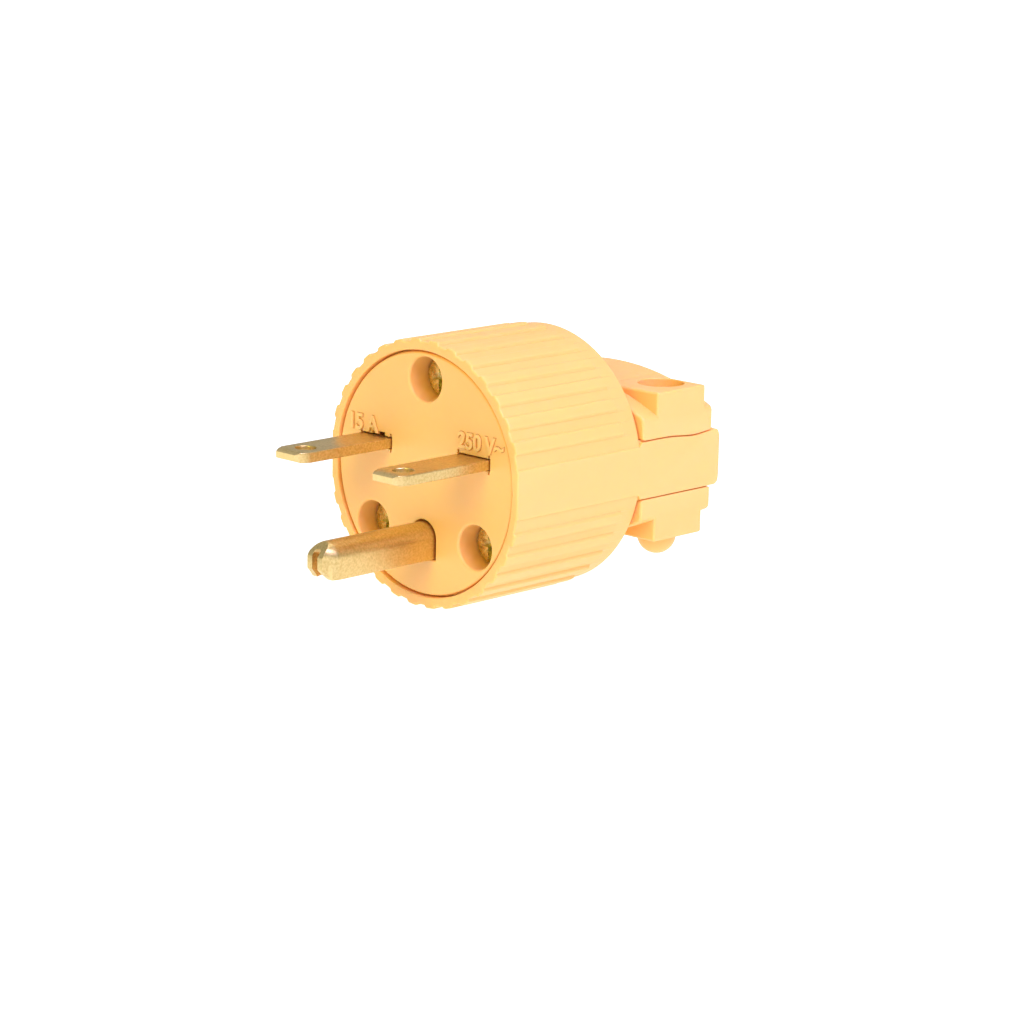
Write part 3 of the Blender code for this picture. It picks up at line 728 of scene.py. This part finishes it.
def rating(name, text, left_y, right_y, base_z):
    """Raised rating lettering that reads from the front, with a dark rim of painted shade round its foot."""
    letters = lettering(name, text, RATING_WEIGHT, RATING_RISE + RATING_SINK)
    foot = lettering(name + "_foot", text, SHADE_RIM_WEIGHT, SHADE_RIM_RISE + RATING_SINK)
    points = [vertex.co for vertex in letters.data.vertices]
    low, high = [Vector([pick(point[i] for point in points) for i in range(3)]) for pick in (min, max)]
    wide = (left_y - right_y) * MM / (high.x - low.x)
    tall = RATING_HEIGHT * MM / (high.y - low.y)
    reading = Matrix(((0, 0, -1, 0), (-1, 0, 0, 0), (0, 1, 0, 0), (0, 0, 0, 1)))
    size = Matrix.Diagonal((wide, tall, 1, 1))
    place = at(RATING_SINK, left_y, base_z) @ reading @ size @ Matrix.Translation((-low.x, -low.y, 0))
    # The wider, lower copy of the letters carries the painted shade round their foot.
    for piece, finish in ((letters, PLASTIC), (foot, PAINTED_SHADE)):
        piece.data.transform(place)
        finish_piece(piece, "front_carrier", "yellow_moulding", finish)


def line_blade(name, cad_node):
    """Stamped brass blade with rounded edges, a holed, coined tip, a shoulder and a wiring tail."""
    low, high = span(cad_node)
    y0 = (low.y + high.y) / 2
    tip = low.x
    shoulder = DISC_HIGH.x + FIT
    rear = shoulder + SHOULDER_L
    upper = [(tip, BLADE_TIP_HALF), (tip + BLADE_TIP_L, BLADE_HALF), (shoulder, BLADE_HALF),
             (shoulder, SHOULDER_HALF), (rear, SHOULDER_HALF), (rear, TAIL_HALF), (high.x, TAIL_HALF)]
    outline = [(x, y + y0) for x, y in upper + [(x, -y) for x, y in reversed(upper)]]
    binding = middle("terminal_screw_" + name).x
    holes = [circle(tip + BLADE_HOLE_IN, y0, BLADE_HOLE_R), circle(binding, y0, BINDING_HOLE_R)]
    blade = plate("brass_blade_" + name, [outline] + holes, low.z, high.z, "Z", BLADE_EDGE)
    under, over, beyond = low.z - 0.01, high.z + 0.01, high.x + 1
    side_view = [(tip, low.z + COIN_DEPTH), (tip + COIN_L, under), (beyond, under), (beyond, over),
                 (tip + COIN_L, over), (tip, high.z - COIN_DEPTH)]
    view = plate("blade_side_view", [side_view], -VIEW_HALF, VIEW_HALF, "Y")
    blade = combine(blade, "INTERSECT", view)
    return finish_piece(blade, "front_carrier", "contact_brass", BLADE_BRASS, cad_node)


def ground_pin():
    """Folded U pin, open below, its legs pinched together at a chamfered nose, with a flat wiring tail."""
    low, high = span("ground_pin")
    tip, top, bottom = low.x, high.z, low.z
    rear = DISC_HIGH.x + FIT + SHOULDER_L
    beyond = 1.0

    def section(x, half, foot):
        """An arch across the pin at x, round above and open-ended below."""
        return [(x, y, z) for y, z in pin_outline(half, top - (PIN_HALF - half) * PIN_NOSE_DROP, foot)]

    pinch = [(0, 1), (0.35, 0.8), (0.7, 0.4), (1, 0.12), (1.25, 0)]
    stations = [(tip + PIN_TAPER * along, share) for along, share in pinch]
    narrow = PIN_HALF - PIN_NOSE_HALF
    pin = skin("brass_ground_pin", [section(x, PIN_HALF - narrow * share, bottom) for x, share in stations]
               + [section(rear, PIN_HALF, bottom)])
    inner = PIN_HALF - PIN_WALL
    closing = inner - PIN_SLIT_HALF
    hollow = [(x, inner - closing * share) for x, share in stations]
    hollow = [(tip - beyond, PIN_SLIT_HALF)] + hollow + [(rear + beyond, inner)]
    bore = skin("pin_bore", [[(x, y, z) for y, z in pin_outline(half, top - PIN_WALL, bottom - beyond)]
                             for x, half in hollow])
    side_view = [(tip + back, top - down) for back, down in PIN_NOSE]
    side_view += [(rear + beyond, top + 0.02), (rear + beyond, bottom - beyond)]
    side_view += [(tip + PIN_NOSE_FOOT, bottom - 0.02), (tip, bottom + PIN_NOSE_FOOT)]
    view = plate("pin_side_view", [side_view], -5, 5, "Y")
    pin = combine(pin, "DIFFERENCE", bore)
    pin = combine(pin, "INTERSECT", view)
    start = DISC_HIGH.x + FIT
    upper = [(start, SHOULDER_HALF), (rear, SHOULDER_HALF), (rear, TAIL_HALF), (high.x, TAIL_HALF)]
    outline = upper + [(x, -y) for x, y in reversed(upper)]
    hole = circle(middle("ground_terminal_screw").x, 0, BINDING_HOLE_R)
    tail = plate("ground_tail", [outline, hole], top - TAIL_T, top, "Z", TAIL_EDGE)
    pin = combine(pin, "UNION", tail)
    return finish_piece(pin, "front_carrier", "contact_brass", BLADE_BRASS, "ground_pin", bevel=0.2)


# ---------------------------------------------------------------- screws

def threaded(radius, start, end):
    """Rings of a screw thread down local Z, from its start to its blunt tip."""
    count = int((start - end) / THREAD_PITCH * 8)
    rings = []
    for k in range(count + 1):
        z = start + (end - start) * k / count
        fade = min(1, k / 8, (count - k) / 6)
        ring = []
        for i in range(SCREW_STEPS):
            phase = (z / THREAD_PITCH + i / SCREW_STEPS) % 1
            root = THREAD_DEPTH * fade * (1 - abs(2 * phase - 1) ** 0.8)
            r = radius - root - 0.35 * (1 - min(1, (count - k) / 8))
            angle = 2 * pi * i / SCREW_STEPS
            ring.append((r * cos(angle), r * sin(angle), z))
        rings.append(ring)
    return rings


def screw(name, cad_node, body, head, turn):
    """Brass combination-head screw: a slot across the whole head and a shorter tapered cross."""
    head_r, head_h = head
    low, high = span(cad_node)
    centre = (low + high) / 2
    axis = turn.to_3x3() @ Vector((0, 0, 1))
    reach = abs((high - low).dot(axis))
    seat = centre + axis * (reach / 2 - head_h)
    length = reach - head_h
    profile = [(head_r * 0.25, head_h), (head_r * 0.6, head_h - 0.03)]
    profile += [(head_r - CROWN + CROWN * sin(a), head_h - 0.08 - CROWN * (1 - cos(a))) for a in quarter(4)]
    profile += [(head_r, 0.12), (head_r - 0.12, 0), (SHANK_R + 0.05, 0), (SHANK_R, -0.1)]
    angles = [2 * pi * i / SCREW_STEPS for i in range(SCREW_STEPS)]
    rings = [[(r * cos(a), r * sin(a), z) for a in angles] for r, z in profile]
    rings += threaded(SHANK_R, -0.6, -length)
    made = skin(name, rings)
    across = block("slot", (-head_r - 1, -DRIVE_SLOT / 2, head_h - DRIVE_SLOT_DEPTH),
                   (head_r + 1, DRIVE_SLOT / 2, head_h + 1))
    bars = [tapered_bar("cross", head_r * CROSS_REACH, DRIVE_SLOT * CROSS_HALF, head_h, CROSS_DEPTH, about)
            for about in (pi, pi / 2)]
    made = combine(made, "DIFFERENCE", across, *bars)
    made.data.transform(at(*seat, turn))
    return finish_piece(made, body, "screw_brass", SCREW_BRASS, cad_node, bevel=0.07)


def tapered_bar(name, half_length, half_width, top, depth, turn):
    """A bar along Y that narrows downwards, turned about Z, for one arm pair of a cross recess."""
    rings = []
    for z, share in ((top + 0.5, 1.1), (top - depth * 0.45, 0.72), (top - depth, 0.25)):
        length, width = half_length * share, half_width * max(share, 0.55)
        rings.append([(-width, -length, z), (width, -length, z), (width, length, z), (-width, length, z)])
    made = skin(name, rings)
    made.data.transform(Matrix.Rotation(turn, 4, "Z"))
    return made


def assembly_screws():
    for place in ("top", "near", "far"):
        node_name = "assembly_screw_" + place
        screw("long_screw_" + place, node_name, place + "_assembly_screw", ASSEMBLY_HEAD, FACING_FRONT)


def clamp_screws():
    for place, facing in (("near", FACING_UP), ("far", FACING_DOWN)):
        node_name = "clamp_screw_" + place
        screw("cross_screw_" + place, node_name, place + "_clamp_screw", CLAMP_HEAD, facing)


# ---------------------------------------------------------------- cord clamp

def clamp_half(name, body, turn, dips):
    """Arched clamp half with its two bolt wings, one with a screw well and one with a nut dome."""
    half_w = CLAMP_HIGH.y
    inner = CLAMP_LOW.z
    front = CLAMP_LOW.x
    lift = CLAMP_APEX - CLAMP_ARCH_R
    corner_y = half_w - CLAMP_CORNER
    slope = asin(corner_y / (CLAMP_ARCH_R - CLAMP_CORNER))
    corner_z = lift + (CLAMP_ARCH_R - CLAMP_CORNER) * cos(slope)
    lean = slope * 180 / pi
    section = [(-half_w, inner), (half_w, inner)]
    section += arc((corner_y, corner_z), CLAMP_CORNER, 0, 90 - lean, 6)
    section += arc((0, lift), CLAMP_ARCH_R, 90 - lean, 90 + lean, 40)[1:-1]
    section += arc((-corner_y, corner_z), CLAMP_CORNER, 90 + lean, 180, 6)
    made = plate(name, [section], front, CLAMP_REAR, "X", CLAMP_EDGE)

    bolt = middle("clamp_screw_near")
    near, far = bolt.y, -bolt.y
    flush = half_w - 0.01
    wings = [block("wing", (WING_FRONT, y_low, inner + 1), (WING_REAR, y_high, WING_TOP), WING_ROUND)
             for y_low, y_high in ((WING_INNER_Y, flush), (-flush, -WING_INNER_Y))]
    dome = [(DOME_R, inner + 1.2)] + arc((0, DOME_SIDE), DOME_R, 0, 86, 12)
    made = combine(made, "UNION", *wings, turned("dome", dome, 64, at(bolt.x, far, 0)))
    if dips:
        made = combine(made, "UNION", *[keel(side, front, inner) for side in (-1, 1)])

    corner_at = (TROUGH_HALF - TROUGH_CORNER, TROUGH_TOP - TROUGH_CORNER)
    corner = arc(corner_at, TROUGH_CORNER, 0, 90, 8)
    half = [(TROUGH_HALF, inner - 1)] + corner
    trough = plate("trough", [half + [(-y, z) for y, z in reversed(half)]], front - 1, CLAMP_REAR + 1, "X")
    made = combine(made, "DIFFERENCE", trough)
    jaws = [block("jaw", (x - JAW_T / 2, -TROUGH_HALF - 0.5, JAW_EDGE),
                  (x + JAW_T / 2, TROUGH_HALF + 0.5, TROUGH_TOP + 0.5), JAW_ROUND) for x in JAW_PLACES]
    made = combine(made, "UNION", *jaws)
    lip = CLAMP_WELL_LIP
    well = [(CLAMP_WELL_R, CLAMP_WELL_FLOOR)]
    well += [(CLAMP_WELL_R + lip * (1 - cos(a)), WING_TOP - lip * (1 - sin(a))) for a in quarter(3)]
    well += [(CLAMP_WELL_R + lip, WING_TOP + 2)]
    through = [(BOLT_HOLE_R, inner - 1), (BOLT_HOLE_R, WING_TOP)]
    blind = [(BOLT_HOLE_R, inner - 1), (BOLT_HOLE_R, BLIND_END)]
    pocket = turned("pocket", [(NUT_POCKET_R, inner - 1), (NUT_POCKET_R, NUT_POCKET_TOP)], 6,
                    at(bolt.x, far, 0))
    made = combine(made, "DIFFERENCE", turned("well", well, 64, at(bolt.x, near, 0)),
                   turned("through", through, 40, at(bolt.x, near, 0)),
                   turned("blind", blind, 40, at(bolt.x, far, 0)), pocket)
    made.data.transform(turn)
    return finish_piece(made, body, "yellow_moulding", PLASTIC, name.replace("moulded", "cord_clamp"))


def keel(side, front, inner):
    """The stretch of a clamp half's foot that follows the dipped seam over one arm."""
    places = [front + CLAMP_EDGE + (CLAMP_REAR - front - 2 * CLAMP_EDGE) * i / 30 for i in range(31)]
    outline = [(x, inner - seam_dip(x) * KEEL_SHARE) for x in places]
    outline += [(places[-1], inner + 0.5), (places[0], inner + 0.5)]
    low, high = sorted((side * (ARM_INNER_Y + 0.3), side * (CLAMP_HIGH.y - 0.01)))
    return plate("keel", [outline], low, high, "Y")


def cord_clamp():
    clamp_half("moulded_upper", "upper_clamp", FACING_UP, dips=True)
    clamp_half("moulded_lower", "lower_clamp", FACING_DOWN, dips=False)


# ---------------------------------------------------------------- inner pieces, as the CAD has them

def inner_pieces():
    finishes = {"terminal_block": (INSULATOR, "inner_insulator"),
                "wire_plate_near": (PLATE_BRASS, "plate_brass"),
                "wire_plate_far": (PLATE_BRASS, "plate_brass"),
                "ground_wire_plate": (PLATE_BRASS, "plate_brass"),
                "terminal_screw_near": (SCREW_BRASS, "screw_brass"),
                "terminal_screw_far": (SCREW_BRASS, "screw_brass"),
                "ground_terminal_screw": (GROUND_GREEN, "ground_green"),
                "clamp_nut_near": (NUT_STEEL, "nut_steel"), "clamp_nut_far": (NUT_STEEL, "nut_steel")}
    for name, (finish, slot_name) in finishes.items():
        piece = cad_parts[name]
        piece.data.materials.clear()
        piece.data.materials.append(finish)
        weld = piece.modifiers.new("weld", "WELD")
        weld.merge_threshold = 0.001 * MM
        soften(piece, 0.12)


# ---------------------------------------------------------------- studio

AZIMUTH = radians(-45.95)
ELEVATION = radians(12.84)
ROLL = radians(1.17)
DISTANCE = 487.5
AIM_RIGHT = 12.82
AIM_UP = -5.5
LENS = 118.05


def camera():
    back = Vector((sin(AZIMUTH) * cos(ELEVATION), -cos(AZIMUTH) * cos(ELEVATION), sin(ELEVATION)))
    level = (-back).cross(Vector((0, 0, 1))).normalized()
    upright = level.cross(-back)
    right = cos(ROLL) * level + sin(ROLL) * upright
    up = cos(ROLL) * upright - sin(ROLL) * level
    place = (AIM_RIGHT * right + AIM_UP * up + DISTANCE * back) * MM
    data = bpy.data.cameras.new("camera")
    data.sensor_width = 36
    data.lens = LENS
    data.clip_start = 0.01
    made = bpy.data.objects.new("camera", data)
    bpy.context.scene.collection.objects.link(made)
    turn = Matrix((right, up, back)).transposed().to_4x4()
    made.matrix_world = Matrix.Translation(place) @ turn
    bpy.context.scene.camera = made


def lamp(name, place, size, power, colour=(1, 1, 1)):
    """A square soft box that faces the plug, its place and size in metres."""
    data = bpy.data.lights.new(name, "AREA")
    data.size = size
    data.energy = power
    data.color = colour
    made = bpy.data.objects.new(name, data)
    bpy.context.scene.collection.objects.link(made)
    made.location = place
    made.rotation_mode = "QUATERNION"
    aim = Vector((0.01, 0, 0)) - Vector(place)
    made.rotation_quaternion = aim.to_track_quat("-Z", "Y")
    return made


def studio():
    """A pale, lit floor under the plug, a white surround and three soft boxes."""
    bm = bmesh.new()
    bmesh.ops.create_grid(bm, x_segments=1, y_segments=1, size=3.0)
    floor = new_piece("floor", bm)
    floor.location.z = CAD_BOX[0].z
    paint, tree, shader = new_material("floor_paint")
    tone = ramp(tree, noise(tree, 3, 2), (0.3, (0.3, 0.3, 0.3)), (0.7, (0.34, 0.34, 0.34)))
    tree.links.new(tone, shader.inputs["Base Color"])
    shader.inputs["Roughness"].default_value = 0.9
    shader.inputs["Emission Color"].default_value = (1, 1, 1, 1)
    shader.inputs["Emission Strength"].default_value = 1.0
    floor.data.materials.append(paint)

    world = bpy.data.worlds.new("studio")
    bpy.context.scene.world = world
    world.use_nodes = True
    world.node_tree.nodes["Background"].inputs["Color"].default_value = (1, 1, 1, 1)
    world.node_tree.nodes["Background"].inputs["Strength"].default_value = 0.5
    lamp("key", (-0.08, -0.45, 0.45), 0.35, 5.0, (0.62, 0.52, 1))
    lamp("top", (0.12, 0.05, 0.6), 0.4, 1.1, (0.9, 0.84, 1))
    lamp("front", (-0.55, -0.1, 0.3), 0.2, 1.15, (1, 0.93, 0.15))
    bpy.context.scene.view_settings.view_transform = "Standard"


shell()
face_disc()
line_blade("near", "line_blade_near")
line_blade("far", "line_blade_far")
ground_pin()
assembly_screws()
clamp_screws()
cord_clamp()
inner_pieces()
camera()
studio()
